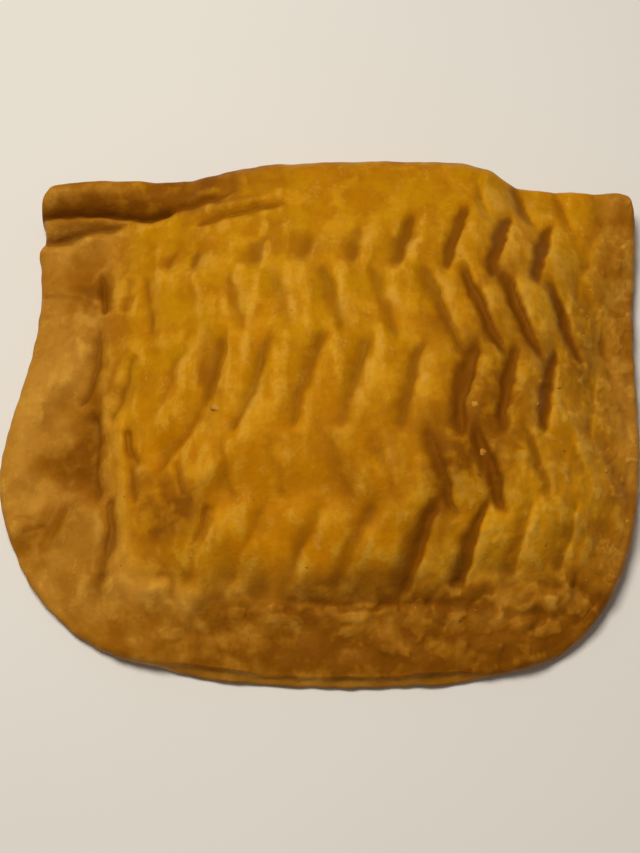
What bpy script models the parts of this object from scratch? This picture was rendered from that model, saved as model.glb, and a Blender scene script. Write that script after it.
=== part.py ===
"""A whole patty: a sheet of pastry folded over its filling, with a herringbone of pressed grooves.

The folded edge is at +Y and the pressed front edge at -Y. The form is worked out in millimetres over
the plan, then scaled to its length and placed in metres, with the flat underside at z = 0.
"""

import math

import bmesh
import bpy
import numpy as np

MM = 0.001

# Driving sizes, in millimetres. The whole form is scaled to the length.
LENGTH = 150.0  # along the folded edge
CROWN = 24.5  # height of the filled middle
FOLD = 17.0  # height of the round folded edge at its middle
FOLD_ENDS = 9.0  # and towards its two ends
RIM_INNER = 7.5  # height of the pressed rim at the foot of the filled body
RIM_FALL = 0.26  # how fast the rim falls outwards
RIM_LEAST = 3.6  # two sheets of pastry, pressed thin
ROUNDING = ((4.0, 1.7), (9.0, 2.6), (17.0, 7.6))  # height of the edge, and how far it rounds inwards

# The edge seen from above, clockwise, as four stretches. Each ends where the next begins.
BACK_EDGE = (
    (-68, 58), (-64.5, 61), (-48, 62), (-31, 62), (-12, 64),
    (12, 64.5), (34, 64), (46, 59.5), (58, 58.5), (71, 57.5),
)
RIGHT_EDGE = ((75, 53.5), (74.5, 38), (73, 20), (72.5, -8), (70.5, -24))
FRONT_EDGE = (
    (66, -39), (57, -52), (44, -59), (20, -62),
    (-5, -62.3), (-28, -60), (-48, -55.5), (-62, -45.5),
)
LEFT_EDGE = (
    (-71, -31), (-75, -14), (-71, 8), (-68.5, 24),
    (-68.5, 37), (-69.3, 43), (-67.8, 48), (-69, 53),
)

# A pair of places stands for a change that begins at the first and is complete at the second.
FOLD_RISES = (-42.0, -16.0)  # along x, from the left end of the folded edge to its full height
FOLD_DROPS = (50.0, 34.0)  # and from the right end
RIM_TO_FOLD = (34.0, 56.0)  # along y, the rim grows into the folded edge
CROWN_TO_FOLD = (27.0, 61.0)  # and so does the top of the body

# The top of the body sinks away from its highest place.
CROWN_PLACE = (3.0, -4.0)
CROWN_SAG = (1.6, 1.2)
CROWN_REACH = (50.0, 45.0)

# The foot of the filled body: a rounded box that runs out past the folded edge.
FOOT_LEFT, FOOT_RIGHT, FOOT_FRONT, FOOT_BACK = -53.0, 68.0, -45.5, 90.0
FOOT_CORNER = 26.0
FOOT_WAVES = ((1.5, 11.0, 0.6), (0.8, 8.0, 0.0))  # how far its line strays, length of a turn, phase
SLOPE_LEFT, SLOPE_RIGHT, SLOPE_FRONT = 46.0, 32.0, 28.0  # plan width of the body's slopes
LEFT_TO_RIGHT = (-20.0, 40.0)
SIDE_TO_FRONT = (-22.0, -38.0)
FRONT_HOLDS = (55.0, 25.0)  # distance from the middle at which the front slope takes over
SLOPE_ROUND = 2.2  # how round the slopes are
SHARP_SHOULDER, SOFT_SHOULDER = 1.05, 1.35  # how gently a slope begins at the foot of the body
SHARP_FOOT = ((8.0, -45.0), (22.0, 12.0))  # middle and half size of the place where it begins sharply

# The herringbone. Each row of grooves begins at its back edge and leans the other way from its neighbours.
ALONG = (-50.0, -25.0, 0.0, 30.0, 60.0)  # the places along x that the next two tables are for
ROW_EDGES = (  # from the back edge of the first row to the front edge of the last
    (57.0, 57.0, 57.0, 57.0, 56.0),
    (40.0, 38.0, 41.0, 48.0, 45.5),
    (36.0, 30.0, 31.5, 30.0, 28.5),
    (19.0, 12.5, 13.5, 9.5, 11.0),
    (-1.0, -11.0, -10.0, -10.5, -8.0),
    (-24.0, -26.0, -26.0, -27.5, -24.5),
    (-45.0, -44.0, -45.0, -44.0, -38.0),
)
LEANS = (  # sideways shift for each millimetre along a groove, row by row
    (0.27, 0.27, 0.27, 0.27, 0.27),
    (0.22, 0.22, 0.22, 0.28, 0.28),
    (0.18, 0.18, 0.24, 0.38, 0.30),
    (0.36, 0.38, 0.33, 0.22, 0.16),
    (0.10, 0.20, 0.42, 0.30, 0.33),
    (0.22, 0.40, 0.50, 0.32, 0.24),
)
PITCH, STRETCH = 10.2, 2.4  # spacing of the grooves, and how much more it is over the fullest part
FULLEST, FULLEST_REACH = 15.0, 20.0
FIRST_GROOVE = 5.5
GROOVES_EACH_WAY = 6
GROOVE_DEPTH_LEFT, GROOVE_DEPTH_RIGHT = 1.6, 1.9
CRISP = (-5.0, 40.0)  # along x, the grooves turn from soft to crisp
RISE_LEFT, RISE_RIGHT = 0.38, 0.34  # share of the spacing in which a ridge rises from its left groove
FALL_LEFT, FALL_RIGHT = 0.7, 0.5  # and in which it falls to its right groove
ROW_BLEND = 5.0  # the rows run into each other over this length
BACK_ROW_SHOWS = (38.0, 46.0)  # the back row is pressed only at its right end
FADE_AT_FOOT = (-1.0, 5.0)  # distance inside the foot over which the grooves come in
FADE_AT_LEFT = (-60.0, -50.0)

# How deep each groove is against the usual depth, row by row and from left to right.
STRENGTHS = (
    (0.0, 0.0, 0.0, 0.0, 0.0, 0.0, 0.0, 0.0, 0.4, 0.6, 0.5, 0.4),
    (0.0, 0.4, 0.5, 0.8, 0.9, 0.6, 0.8, 0.9, 0.9, 0.9, 0.8, 0.4, 0.0),
    (0.0, 0.6, 0.4, 0.7, 0.6, 0.8, 0.6, 0.7, 1.1, 1.1, 0.9, 0.3),
    (0.0, 0.0, 0.5, 0.9, 0.9, 0.9, 0.8, 0.8, 1.3, 1.0, 1.0, 0.4, 0.0),
    (0.0, 0.5, 0.3, 0.6, 0.5, 0.5, 0.5, 1.0, 1.3, 0.7, 0.5, 0.4),
    (0.0, 0.3, 0.3, 0.4, 0.9, 0.9, 0.8, 1.5, 1.1, 0.7, 0.5, 0.3, 0.0),
)

# Creases: (depth, reach ahead of the line, reach behind it, points of the line from left to right).
CREASES = (
    (3.6, 4.4, 4.6, ((-76, 51.6), (-60, 52), (-50, 51.6), (-42, 50.6), (-36, 51.2))),  # under the roll
    (1.5, 2.6, 3.0, ((-32, 45.5), (-26, 46.2), (-17, 47.4), (-8, 50))),  # its branch over the body
    (2.0, 3.6, 3.2, ((-70, 45), (-62, 46), (-55, 47.6), (-46, 48.6))),  # under the small pleat
    (2.2, 4.6, 4.4, ((-54.5, 26), (-52.6, 12), (-56, 5), (-52.3, -2), (-51, -14), (-51, -26))),  # by the lobe
    (1.7, 4.2, 4.2, ((-49, -20), (-48.2, -28), (-50.9, -45))),
    (1.4, 4.0, 4.4, ((-23.8, 15), (-25.6, 3), (-29, -5), (-38.5, -19))),  # a long fold of the skin
    (1.4, 5.0, 5.0, ((-72, -36), (-65, -28.5), (-60, -22), (-57, -10))),  # across the lobe
    (0.9, 3.6, 5.0, ((0, -45.6), (5, -44), (11, -45.6), (17, -44), (22, -46))),  # foot of the body
)
CREASE_FADE, CREASE_OPEN = 0.2, 0.15  # share of the line in which an end fades, and how open it starts

# Swellings and hollows: (height, middle, half size each way).
HILLS = (
    (2.4, (-56, 58), (18, 3.6)),  # the roll at the back left
    (1.6, (-59, 49.4), (10, 1.9)),  # the small pleat ahead of it
    (3.0, (-70, -6), (5.5, 15)),  # the lobe's raised edge
    (-2.6, (-58.5, -7), (5.5, 9)),  # the hollow inside it
    (0.8, (4, -48.5), (34, 2.4)),  # the ledge ahead of the body's foot
    (1.9, (-38.5, -43), (4.5, 3.2)),  # lumps at the body's front left foot
    (1.6, (-29.5, -45.5), (3.4, 2.8)),
    (1.3, (-20, -44), (3.6, 2.6)),
)

# The mesh: cells along the fold, cells from front to back, and the rings of the wall below the top.
COLUMNS, LINES = 72, 48
FOLLOW_ALONG, FOLLOW_ACROSS = 0.25, 0.17  # shares of the grid in which its lines begin to lean
WALL = (  # (height share, inset share, shift in millimetres where the two sheets show apart)
    (0.88, 0.36, -0.9),
    (0.64, 0.03, -1.4),
    (0.48, 0.0, -1.7),
    (0.34, 0.05, 0.7),
    (0.10, 0.40, 0.6),
    (0.0, 1.0, 0.6),
)
SEAM_SHOWS = (40.0, 28.0)  # the two sheets' edges show apart at the middle of the front
SPAN_STEPS = 12  # points worked out along each span of the edge

CRUST_COLOUR = (0.42, 0.17, 0.012, 1.0)
CRUST_ROUGHNESS = 0.5


def smooth(t):
    """0 below 0, 1 above 1, and an S between them."""
    t = np.clip(t, 0.0, 1.0)
    return t * t * (3.0 - 2.0 * t)


def ramp(value, start, end):
    """0 up to the start, 1 from the end on, and smooth in between."""
    return smooth((value - start) / (end - start))


def hill(x, y, middle, reach):
    """A round hill of height 1."""
    return np.exp(-(((x - middle[0]) / reach[0]) ** 2) - ((y - middle[1]) / reach[1]) ** 2)


def line_field(x, y, points):
    """Distance to a line through points, positive on its left, and how far along it, from 0 to 1."""
    nearest = np.full(np.shape(x), np.inf)
    signed = np.zeros(np.shape(x))
    along = np.zeros(np.shape(x))
    spans = list(zip(points, points[1:]))
    for i, (a, b) in enumerate(spans):
        run = np.subtract(b, a)
        t = np.clip(((x - a[0]) * run[0] + (y - a[1]) * run[1]) / (run @ run), 0.0, 1.0)
        dx, dy = x - a[0] - t * run[0], y - a[1] - t * run[1]
        gap = np.hypot(dx, dy)
        closer = gap < nearest
        nearest = np.where(closer, gap, nearest)
        signed = np.where(closer, gap * np.sign(run[0] * dy - run[1] * dx), signed)
        along = np.where(closer, (i + t) / len(spans), along)
    return signed, along


def crease(x, y, depth, ahead, behind, points):
    """A valley that fades out at both ends of its line."""
    signed, along = line_field(x, y, points)
    reach = np.where(signed < 0.0, ahead, behind)
    ends = smooth(np.minimum(along, 1.0 - along) / CREASE_FADE + CREASE_OPEN)
    return depth * ends * smooth(1.0 - np.abs(signed) / reach)


def inside_body(x, y):
    """How far inside the foot of the filled body a point lies, negative on the rim."""
    half = np.array((FOOT_RIGHT - FOOT_LEFT, FOOT_BACK - FOOT_FRONT)) / 2.0 - FOOT_CORNER
    (stray_x, turn_x, phase_x), (stray_y, turn_y, phase_y) = FOOT_WAVES
    foot_x = x + stray_x * np.sin(y / turn_x + phase_x)
    foot_y = y + stray_y * np.sin(x / turn_y + phase_y)
    across = np.abs(foot_x - (FOOT_LEFT + FOOT_RIGHT) / 2.0) - half[0]
    along = np.abs(foot_y - (FOOT_FRONT + FOOT_BACK) / 2.0) - half[1]
    outside = np.hypot(np.maximum(across, 0.0), np.maximum(along, 0.0))
    return FOOT_CORNER - outside - np.minimum(np.maximum(across, along), 0.0)


def fold_height(x):
    """Height of the folded edge along its length: fullest over the middle, low at both ends."""
    full = ramp(x, *FOLD_RISES) * ramp(x, *FOLD_DROPS)
    return FOLD_ENDS + (FOLD - FOLD_ENDS) * full


def rim_height(x, y):
    """Height of the rim, which falls outwards and grows into the folded edge at the back."""
    rim = np.maximum(RIM_INNER + RIM_FALL * np.minimum(inside_body(x, y), 0.0), RIM_LEAST)
    return rim + (fold_height(x) - rim) * ramp(y, *RIM_TO_FOLD)


def body_rise(x, y):
    """0 at the foot of the body and 1 on its top."""
    side = SLOPE_LEFT + (SLOPE_RIGHT - SLOPE_LEFT) * ramp(x, *LEFT_TO_RIGHT)
    slope = side + (SLOPE_FRONT - side) * ramp(y, *SIDE_TO_FRONT) * ramp(np.abs(x), *FRONT_HOLDS)
    left = 1.0 - np.clip(inside_body(x, y) / slope, 0.0, 1.0)
    shoulder = SOFT_SHOULDER + (SHARP_SHOULDER - SOFT_SHOULDER) * hill(x, y, *SHARP_FOOT)
    return (1.0 - left**SLOPE_ROUND) ** shoulder


def groove_places():
    """Where the grooves of a row cross its middle line, wider apart over the fullest part."""
    places = [FIRST_GROOVE]
    for way in (1, -1):
        x = FIRST_GROOVE
        for _ in range(GROOVES_EACH_WAY):
            from_fullest = (x + way * PITCH / 2.0 - FULLEST) / FULLEST_REACH
            x += way * (PITCH + STRETCH * math.exp(-(from_fullest**2)))
            places.append(x)
    return np.sort(places)


def row_bounds(x, row):
    """The back and front edges of a row of grooves."""
    return np.interp(x, ALONG, ROW_EDGES[row]), np.interp(x, ALONG, ROW_EDGES[row + 1])


def row_relief(x, y, row):
    """How far one row's grooves cut in, and how strongly the row holds at each point."""
    back, front = row_bounds(x, row)
    way = 1.0 if row % 2 else -1.0
    places = groove_places()
    if way < 0.0:
        places = (places[1:] + places[:-1]) / 2.0
    depths = GROOVE_DEPTH_LEFT + (GROOVE_DEPTH_RIGHT - GROOVE_DEPTH_LEFT) * ramp(places, *CRISP)
    depths = depths * STRENGTHS[row]
    lean = np.interp(x, ALONG, LEANS[row])
    upright = x - way * lean * (y - (back + front) / 2.0)
    phase = np.interp(upright, places, np.arange(len(places)))
    share = phase % 1.0
    left_depth = depths[np.floor(phase).astype(int)]
    right_depth = depths[np.minimum(np.floor(phase).astype(int) + 1, len(places) - 1)]
    crisp = ramp(x, *CRISP)
    rise = RISE_LEFT + (RISE_RIGHT - RISE_LEFT) * crisp
    fall = FALL_LEFT + (FALL_RIGHT - FALL_LEFT) * crisp
    arch = smooth(share / rise) * smooth((1.0 - share) / fall)
    cut = (left_depth + (right_depth - left_depth) * share) * (1.0 - arch)
    hold = smooth((back - y) / ROW_BLEND + 0.5) * smooth((y - front) / ROW_BLEND + 0.5)
    return cut, hold


def herringbone(x, y):
    """How far the pressed grooves cut into the body."""
    total = np.zeros(np.shape(x))
    for row in range(len(ROW_EDGES) - 1):
        cut, hold = row_relief(x, y, row)
        if row == 0:
            hold = hold * ramp(x, *BACK_ROW_SHOWS)
        total += cut * hold
    return total * ramp(inside_body(x, y), *FADE_AT_FOOT) * ramp(x, *FADE_AT_LEFT)


def top_height(x, y):
    """Height of the top of the pastry, in millimetres, over any point of the plan."""
    rim = rim_height(x, y)
    crown = CROWN - CROWN_SAG[0] * ((x - CROWN_PLACE[0]) / CROWN_REACH[0]) ** 2
    crown -= CROWN_SAG[1] * ((y - CROWN_PLACE[1]) / CROWN_REACH[1]) ** 2
    crown += (fold_height(x) - crown) * ramp(y, *CROWN_TO_FOLD)
    height = rim + (crown - rim) * body_rise(x, y)
    height -= herringbone(x, y)
    for depth, ahead, behind, points in CREASES:
        height -= crease(x, y, depth, ahead, behind, points)
    for rise, middle, reach in HILLS:
        height += rise * hill(x, y, middle, reach)
    return height


def edge_curve():
    """A closed smooth curve through the edge's points, and where each stretch begins on it."""
    stretches = (BACK_EDGE, RIGHT_EDGE, FRONT_EDGE, LEFT_EDGE)
    points = np.array([point for stretch in stretches for point in stretch], float)
    before, after, beyond = np.roll(points, 1, 0), np.roll(points, -1, 0), np.roll(points, -2, 0)
    t = (np.arange(SPAN_STEPS) / SPAN_STEPS)[:, None, None]
    curve = points + t * (after - before) / 2.0
    curve += t**2 * (before - 2.5 * points + 2.0 * after - beyond / 2.0)
    curve += t**3 * (1.5 * (points - after) + (beyond - before) / 2.0)
    curve = curve.transpose(1, 0, 2).reshape(-1, 2)
    starts = np.cumsum([0] + [len(stretch) for stretch in stretches]) * SPAN_STEPS
    return curve, starts


def outward(curve):
    """The outward normal at each point of a closed clockwise curve."""
    run = np.roll(curve, -1, 0) - np.roll(curve, 1, 0)
    normal = np.stack([-run[:, 1], run[:, 0]], axis=1)
    return normal / np.linalg.norm(normal, axis=1, keepdims=True)


def stretch_points(curve, normals, start, end, cells):
    """Points and outward normals spaced evenly along one stretch of the edge."""
    index = np.arange(start, end + 1) % len(curve)
    line, facing = curve[index], normals[index]
    run = np.concatenate([[0.0], np.cumsum(np.linalg.norm(np.diff(line, axis=0), axis=1))])
    at = np.linspace(0.0, run[-1], cells + 1)
    place = np.stack([np.interp(at, run, line[:, k]) for k in range(2)], axis=1)
    face = np.stack([np.interp(at, run, facing[:, k]) for k in range(2)], axis=1)
    return place, face / np.linalg.norm(face, axis=1, keepdims=True)


def edge_stretches():
    """The four stretches of the edge, with their normals: back, right, front and left, clockwise."""
    curve, starts = edge_curve()
    normals = outward(curve)
    cells = (COLUMNS, LINES, COLUMNS, LINES)
    return [stretch_points(curve, normals, starts[i], starts[i + 1], cells[i]) for i in range(4)]


def edge_inset(place):
    """How far the wall rounds inwards at points of the edge."""
    heights, insets = zip(*ROUNDING)
    return np.interp(rim_height(place[:, 0], place[:, 1]), heights, insets)


def inset_line(place, face):
    """The line where the top meets the rounded wall."""
    return place - face * edge_inset(place)[:, None]


def plan_grid():
    """Plan points of the top, from left to right and from front to back, leaning with the grooves."""
    back, right, front, left = (inset_line(place, face) for place, face in edge_stretches())
    front, right = front[::-1], right[::-1]
    u = np.linspace(0.0, 1.0, COLUMNS + 1)[:, None, None]
    v = np.linspace(0.0, 1.0, LINES + 1)[None, :, None]
    grid = (1 - v) * front[:, None] + v * back[:, None] + (1 - u) * left[None] + u * right[None]
    grid -= (1 - u) * (1 - v) * front[0] + u * (1 - v) * front[-1] + (1 - u) * v * back[0] + u * v * back[-1]
    within = ramp(np.minimum(u, 1 - u), 0.0, FOLLOW_ALONG) * ramp(np.minimum(v, 1 - v), 0.0, FOLLOW_ACROSS)
    grid[..., 0] += groove_shift(grid[..., 0], grid[..., 1]) * within[..., 0]
    return grid


def groove_shift(x, y):
    """Sideways shift that makes the lines of the grid lean with the grooves, row after row."""
    shift = np.zeros(np.shape(x))
    for row, leans in enumerate(LEANS):
        back, front = row_bounds(x, row)
        way = 1.0 if row % 2 else -1.0
        shift += way * np.interp(x, ALONG, leans) * np.clip(y - front, 0.0, back - front)
    return shift


def wall_rings(top):
    """The rings of the wall, from the top's border down to the underside."""
    stretches = edge_stretches()
    place = np.concatenate([place[:-1] for place, _ in stretches])
    face = np.concatenate([face[:-1] for _, face in stretches])
    inset = edge_inset(place)
    seam = ramp(np.abs(place[:, 0]), *SEAM_SHOWS) * (place[:, 1] < 0.0)
    rings = []
    for height_share, inset_share, shift in WALL:
        plan = place + face * (shift * seam - inset * inset_share)[:, None]
        rings.append(np.column_stack([plan, top[:, 2] * height_share]))
    return rings


def border(grid):
    """The grid's outer points, clockwise from its back left corner."""
    return np.concatenate([grid[:-1, -1], grid[-1, :0:-1], grid[:0:-1, 0], grid[0, :-1]])


def place_in_frame(form):
    """Scales the form to its length in metres, and puts the origin under the middle of its box."""
    places = np.array([vert.co for vert in form.verts])
    low, high = places.min(axis=0), places.max(axis=0)
    middle = ((low[0] + high[0]) / 2.0, (low[1] + high[1]) / 2.0, low[2])
    scale = LENGTH * MM / (high[0] - low[0])
    for vert, place in zip(form.verts, places):
        vert.co = (place - middle) * scale


def patty_mesh():
    """One closed mesh: the gridded top, the rounded wall and the flat underside."""
    plan = plan_grid()
    top = np.concatenate([plan, top_height(plan[..., 0], plan[..., 1])[..., None]], axis=2)
    form = bmesh.new()
    corners = [[form.verts.new(point) for point in column] for column in top]
    for i in range(COLUMNS):
        for j in range(LINES):
            form.faces.new((corners[i][j], corners[i + 1][j], corners[i + 1][j + 1], corners[i][j + 1]))
    ring = list(border(np.array(corners, dtype=object)))
    for level in wall_rings(border(top)):
        lower = [form.verts.new(point) for point in level]
        for i in range(len(ring)):
            k = (i + 1) % len(ring)
            form.faces.new((ring[k], lower[k], lower[i], ring[i]))
        ring = lower
    form.faces.new(ring)
    place_in_frame(form)
    bmesh.ops.recalc_face_normals(form, faces=form.faces)
    bmesh.ops.triangulate(form, faces=form.faces, quad_method="SHORT_EDGE")
    mesh = bpy.data.meshes.new("patty")
    form.to_mesh(mesh)
    form.free()
    mesh.shade_smooth()
    return mesh


def crust_material():
    """Baked golden pastry."""
    material = bpy.data.materials.new("crust")
    material.use_nodes = True
    shader = material.node_tree.nodes["Principled BSDF"]
    shader.inputs["Base Color"].default_value = CRUST_COLOUR
    shader.inputs["Roughness"].default_value = CRUST_ROUGHNESS
    shader.inputs["Metallic"].default_value = 0.0
    return material


def main():
    for old in list(bpy.data.objects):
        bpy.data.objects.remove(old)
    patty = bpy.data.objects.new("patty", patty_mesh())
    patty.data.materials.append(crust_material())
    bpy.context.scene.collection.objects.link(patty)


main()
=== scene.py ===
"""A whole baked patty, folded over its filling and pressed with a herringbone of grooves.

The form follows the part's own sizes: it is worked out in millimetres over the plan, with fine relief
added, and fitted to the frame's box. The colours follow the form: brown in the grooves and creases,
partly painted shade, painted shade in hollows, painted highlights on crests and brows, golden over the
filled body, and tan to brown on the pressed rim.
"""
import math

import bmesh
import bpy
import numpy as np
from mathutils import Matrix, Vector


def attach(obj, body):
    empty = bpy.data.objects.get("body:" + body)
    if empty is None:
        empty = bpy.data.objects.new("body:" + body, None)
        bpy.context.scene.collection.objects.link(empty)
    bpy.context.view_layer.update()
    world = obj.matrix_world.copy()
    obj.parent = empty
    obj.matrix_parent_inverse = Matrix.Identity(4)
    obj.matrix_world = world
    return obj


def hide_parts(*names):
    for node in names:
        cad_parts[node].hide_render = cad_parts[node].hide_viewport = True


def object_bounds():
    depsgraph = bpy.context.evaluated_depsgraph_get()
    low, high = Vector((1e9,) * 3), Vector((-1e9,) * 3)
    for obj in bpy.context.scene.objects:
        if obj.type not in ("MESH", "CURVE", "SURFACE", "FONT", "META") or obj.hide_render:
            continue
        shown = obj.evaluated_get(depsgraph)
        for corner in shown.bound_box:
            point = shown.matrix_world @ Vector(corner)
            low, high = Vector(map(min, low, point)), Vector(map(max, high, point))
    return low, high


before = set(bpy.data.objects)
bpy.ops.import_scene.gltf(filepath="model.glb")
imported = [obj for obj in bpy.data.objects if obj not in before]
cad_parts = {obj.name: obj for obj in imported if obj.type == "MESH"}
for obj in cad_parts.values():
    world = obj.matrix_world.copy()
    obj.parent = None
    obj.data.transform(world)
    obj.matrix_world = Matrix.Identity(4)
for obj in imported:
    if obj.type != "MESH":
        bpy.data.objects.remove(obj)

CAD_BOX = [list(map(float, corner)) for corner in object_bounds()]

# -------- the form, in millimetres
CROWN = 24.5  # height of the filled middle
FOLD, FOLD_ENDS = 17.0, 9.0  # height of the folded edge at its middle, and towards its two ends
RIM_INNER, RIM_FALL, RIM_LEAST = 7.5, 0.26, 3.6  # height of the rim inside, its fall outwards, its least
ROUNDING = ((4.0, 1.7), (9.0, 2.6), (17.0, 7.6))  # height of the edge, and how far it rounds inwards
TIGHT_CORNERS = (((-68.5, 54.5), (4.0, 6.5)), ((73.0, 56.0), (6.0, 6.0)))  # middle, reach each way
CORNER_TIGHTNESS = 0.8  # how much less the edge rounds inwards at those corners

# The edge seen from above, clockwise, as four stretches. Each ends where the next begins.
BACK_EDGE = (
    (-68, 56.8), (-64.2, 59.8), (-48, 60.8), (-31, 60.8), (-12, 63.2),
    (12, 64.2), (34, 63.6), (46, 59.5), (58, 58.5), (71, 57.5),
)
RIGHT_EDGE = ((75, 53.5), (74.5, 38), (73, 20), (72.5, -8), (70.5, -24))
FRONT_EDGE = (
    (66, -39), (57, -52), (44, -59), (20, -62),
    (-5, -62.3), (-28, -60), (-48, -55.5), (-62, -45.5),
)
LEFT_EDGE = (
    (-71, -31), (-75, -14), (-71, 8), (-68.5, 24),
    (-68.5, 37), (-69.3, 43), (-67.8, 47.6), (-69, 52.4),
)

# A pair of places stands for a change that begins at the first and is complete at the second.
FOLD_RISES, FOLD_DROPS = (-42.0, -16.0), (50.0, 34.0)  # along x, from the ends of the folded edge
RIM_TO_FOLD, CROWN_TO_FOLD = (34.0, 56.0), (27.0, 61.0)  # along y, both grow into the folded edge
CROWN_PLACE = (3.0, -4.0)
CROWN_SAG, CROWN_REACH = (1.6, 1.2), (50.0, 45.0)  # how much the crown sags at these distances, each way
FOOT_LEFT, FOOT_RIGHT, FOOT_FRONT, FOOT_BACK = -53.0, 68.0, -45.5, 90.0  # where the body starts to rise
FOOT_CORNER = 26.0
FOOT_WAVES = ((1.5, 11.0, 0.6), (0.8, 8.0, 0.0))  # how far it strays, length for a radian, phase
FOOT_STRAY, FOOT_STRAY_SIZE = 1.8, 9.0  # and how far it strays by chance
SLOPE_LEFT, SLOPE_RIGHT, SLOPE_FRONT = 46.0, 32.0, 28.0  # plan width of the body's slopes
LEFT_TO_RIGHT, SIDE_TO_FRONT = (-20.0, 40.0), (-22.0, -38.0)
FRONT_HOLDS = (55.0, 25.0)  # how near the middle, along x, the front's own slope holds
SLOPE_ROUND = 2.2  # how full the slopes are
SHARP_FOOT, SOFT_FOOT = 1.05, 1.35  # how the slopes begin at the rim: the higher, the more gently
SHARP_PLACE = ((8.0, -45.0), (22.0, 12.0))  # where they begin in a sharp valley: middle, reach each way

# The herringbone. Each row of grooves begins at its back edge and leans the other way from its neighbours.
ALONG = (-50.0, -25.0, 0.0, 30.0, 60.0)  # the places along x that the next two tables are for
ROW_EDGES = (  # from the back edge of the first row to the front edge of the last
    (57, 57, 57, 57, 56),
    (40, 38, 41, 48, 45.5),
    (36, 30, 31.5, 30, 28.5),
    (19, 12.5, 13.5, 9.5, 11),
    (-1, -11, -10, -10.5, -8),
    (-24, -26, -26, -27.5, -24.5),
    (-45, -44, -45, -44, -38),
)
LEANS = (  # sideways shift for each millimetre along a groove, row by row
    (0.27,) * 5,
    (0.22, 0.22, 0.22, 0.28, 0.28),
    (0.18, 0.18, 0.24, 0.38, 0.30),
    (0.36, 0.38, 0.33, 0.22, 0.16),
    (0.10, 0.20, 0.42, 0.30, 0.33),
    (0.22, 0.40, 0.50, 0.32, 0.24),
)
PITCH, STRETCH = 10.2, 2.4  # spacing of the grooves, and how much more it is over the fullest part
FULLEST, FULLEST_REACH = 15.0, 20.0  # along x
FIRST_GROOVE, GROOVES_EACH_WAY = 5.5, 6
CRISP = (-5.0, 40.0)  # along x, the grooves turn from soft to crisp, by these pairs:
GROOVE_DEPTH = (1.5, 1.2)
EDGE_PLACE = (0.9, 1.2)  # how far right of a groove's middle the next ridge's steep edge lies
SKEW = (0.62, 0.5)  # below 1, the crests of the ridges lie left of their middle
SOFT = (0.45, 0.2)  # how round the bottoms of the grooves are
TRENCH = (0.04, 0.15)  # share of the spacing that is a flat bottom
SLOT, SLOT_REACH, SLOT_ASIDE = 0.6, 2.2, 0.5  # a narrow cut in the crisp grooves, just right of their middle
EDGE_SOFT = 0.05  # how soft the steep edges are
ARCH = 0.8  # how full the ridges are
TRENCH_LEAST, GROOVE_ENDS = 0.6, 0.75  # what is left of the flat, and of the depth, at a groove's ends
# The groove brown is partly browner baking and partly painted shade.
# A groove browns from the first depth on, and at the second it is as brown as the third value says.
BROWN_LEFT, BROWN_RIGHT = (0.2, 1.2, 0.4), (0.45, 1.5, 0.85)
# The brow is a painted highlight along each ridge's steep edge, which faces the light.
BROW_HIGHLIGHT_AT, BROW_HIGHLIGHT_WIDE = 0.16, 0.12  # where across a ridge its pale brow lies, as a share of the ridge
ROW_BLEND, ROW_OVERLAP = 5.0, 1.3  # the rows run into each other, and the crisp grooves reach past them
BACK_ROW_SHOWS = (16.0, 40.0)  # along x, the back row is pressed towards its right end
FADE_AT_FOOT, FADE_AT_LEFT = (-1.0, 5.0), (-60.0, -50.0)  # the grooves fade inside the foot, and along x
WANDER, WANDER_SIZE = 0.5, 17.0  # how far the grooves stray from their rule, and over what length
RAGGED, RAGGED_SIZE = 0.6, 5.0  # the same for their ragged edges
SHIFTS = (  # how far each groove lies from its place by rule, row by row and from left to right
    (0, 0, 0, 0, 0, 0, 0, 0, 0, 0.7, -0.3, -1),
    (0, 0, 0, -4, 1.1, 1.3, 0.6, -0.2, -0.5, -0.9, -0.9, -1.1, 0),
    (0, 0.5, 0.5, 0.6, 0.9, 0.9, 1, 1.5, -0.7, -2.4, -2, -2.5),
    (1.7, 0.8, 1.1, 0, -0.1, 1.4, 0.1, 0.5, 0.4, -1, -2, -1.7, 0),
    (0.5, -2.2, -1.4, -0.5, -0.4, 2.5, 0.6, 0.6, -0.4, -0.1, -0.4, -0.4),
    (0, -2.2, -3, -1.6, -1.7, -0.4, -0.3, 1.8, 0.9, 0.5, 1.1, -0.2, 0),
)
STRENGTHS = (  # how deep each groove is, in the same order
    (0, 0, 0, 0, 0, 0, 0.3, 0.35, 0.5, 0.6, 0.5, 0.4),
    (0, 0.4, 0.5, 0.8, 0.9, 0.6, 0.8, 0.9, 1, 1.1, 1, 0.4, 0),
    (0, 0.6, 0.4, 0.7, 0.6, 0.8, 0.6, 0.7, 1.1, 1.2, 0.9, 0.3),
    (0, 0, 0.5, 0, 0.9, 0.9, 0.8, 0.8, 1.3, 1.1, 1, 0.4, 0),
    (0, 0.5, 0.3, 0.6, 0.5, 0.5, 0.5, 1, 1.3, 0.6, 0.4, 0.4),
    (0, 0.3, 0.3, 0.4, 0.5, 0.8, 0.9, 1.7, 1.1, 0.6, 0.5, 0.3, 0),
)

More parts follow.
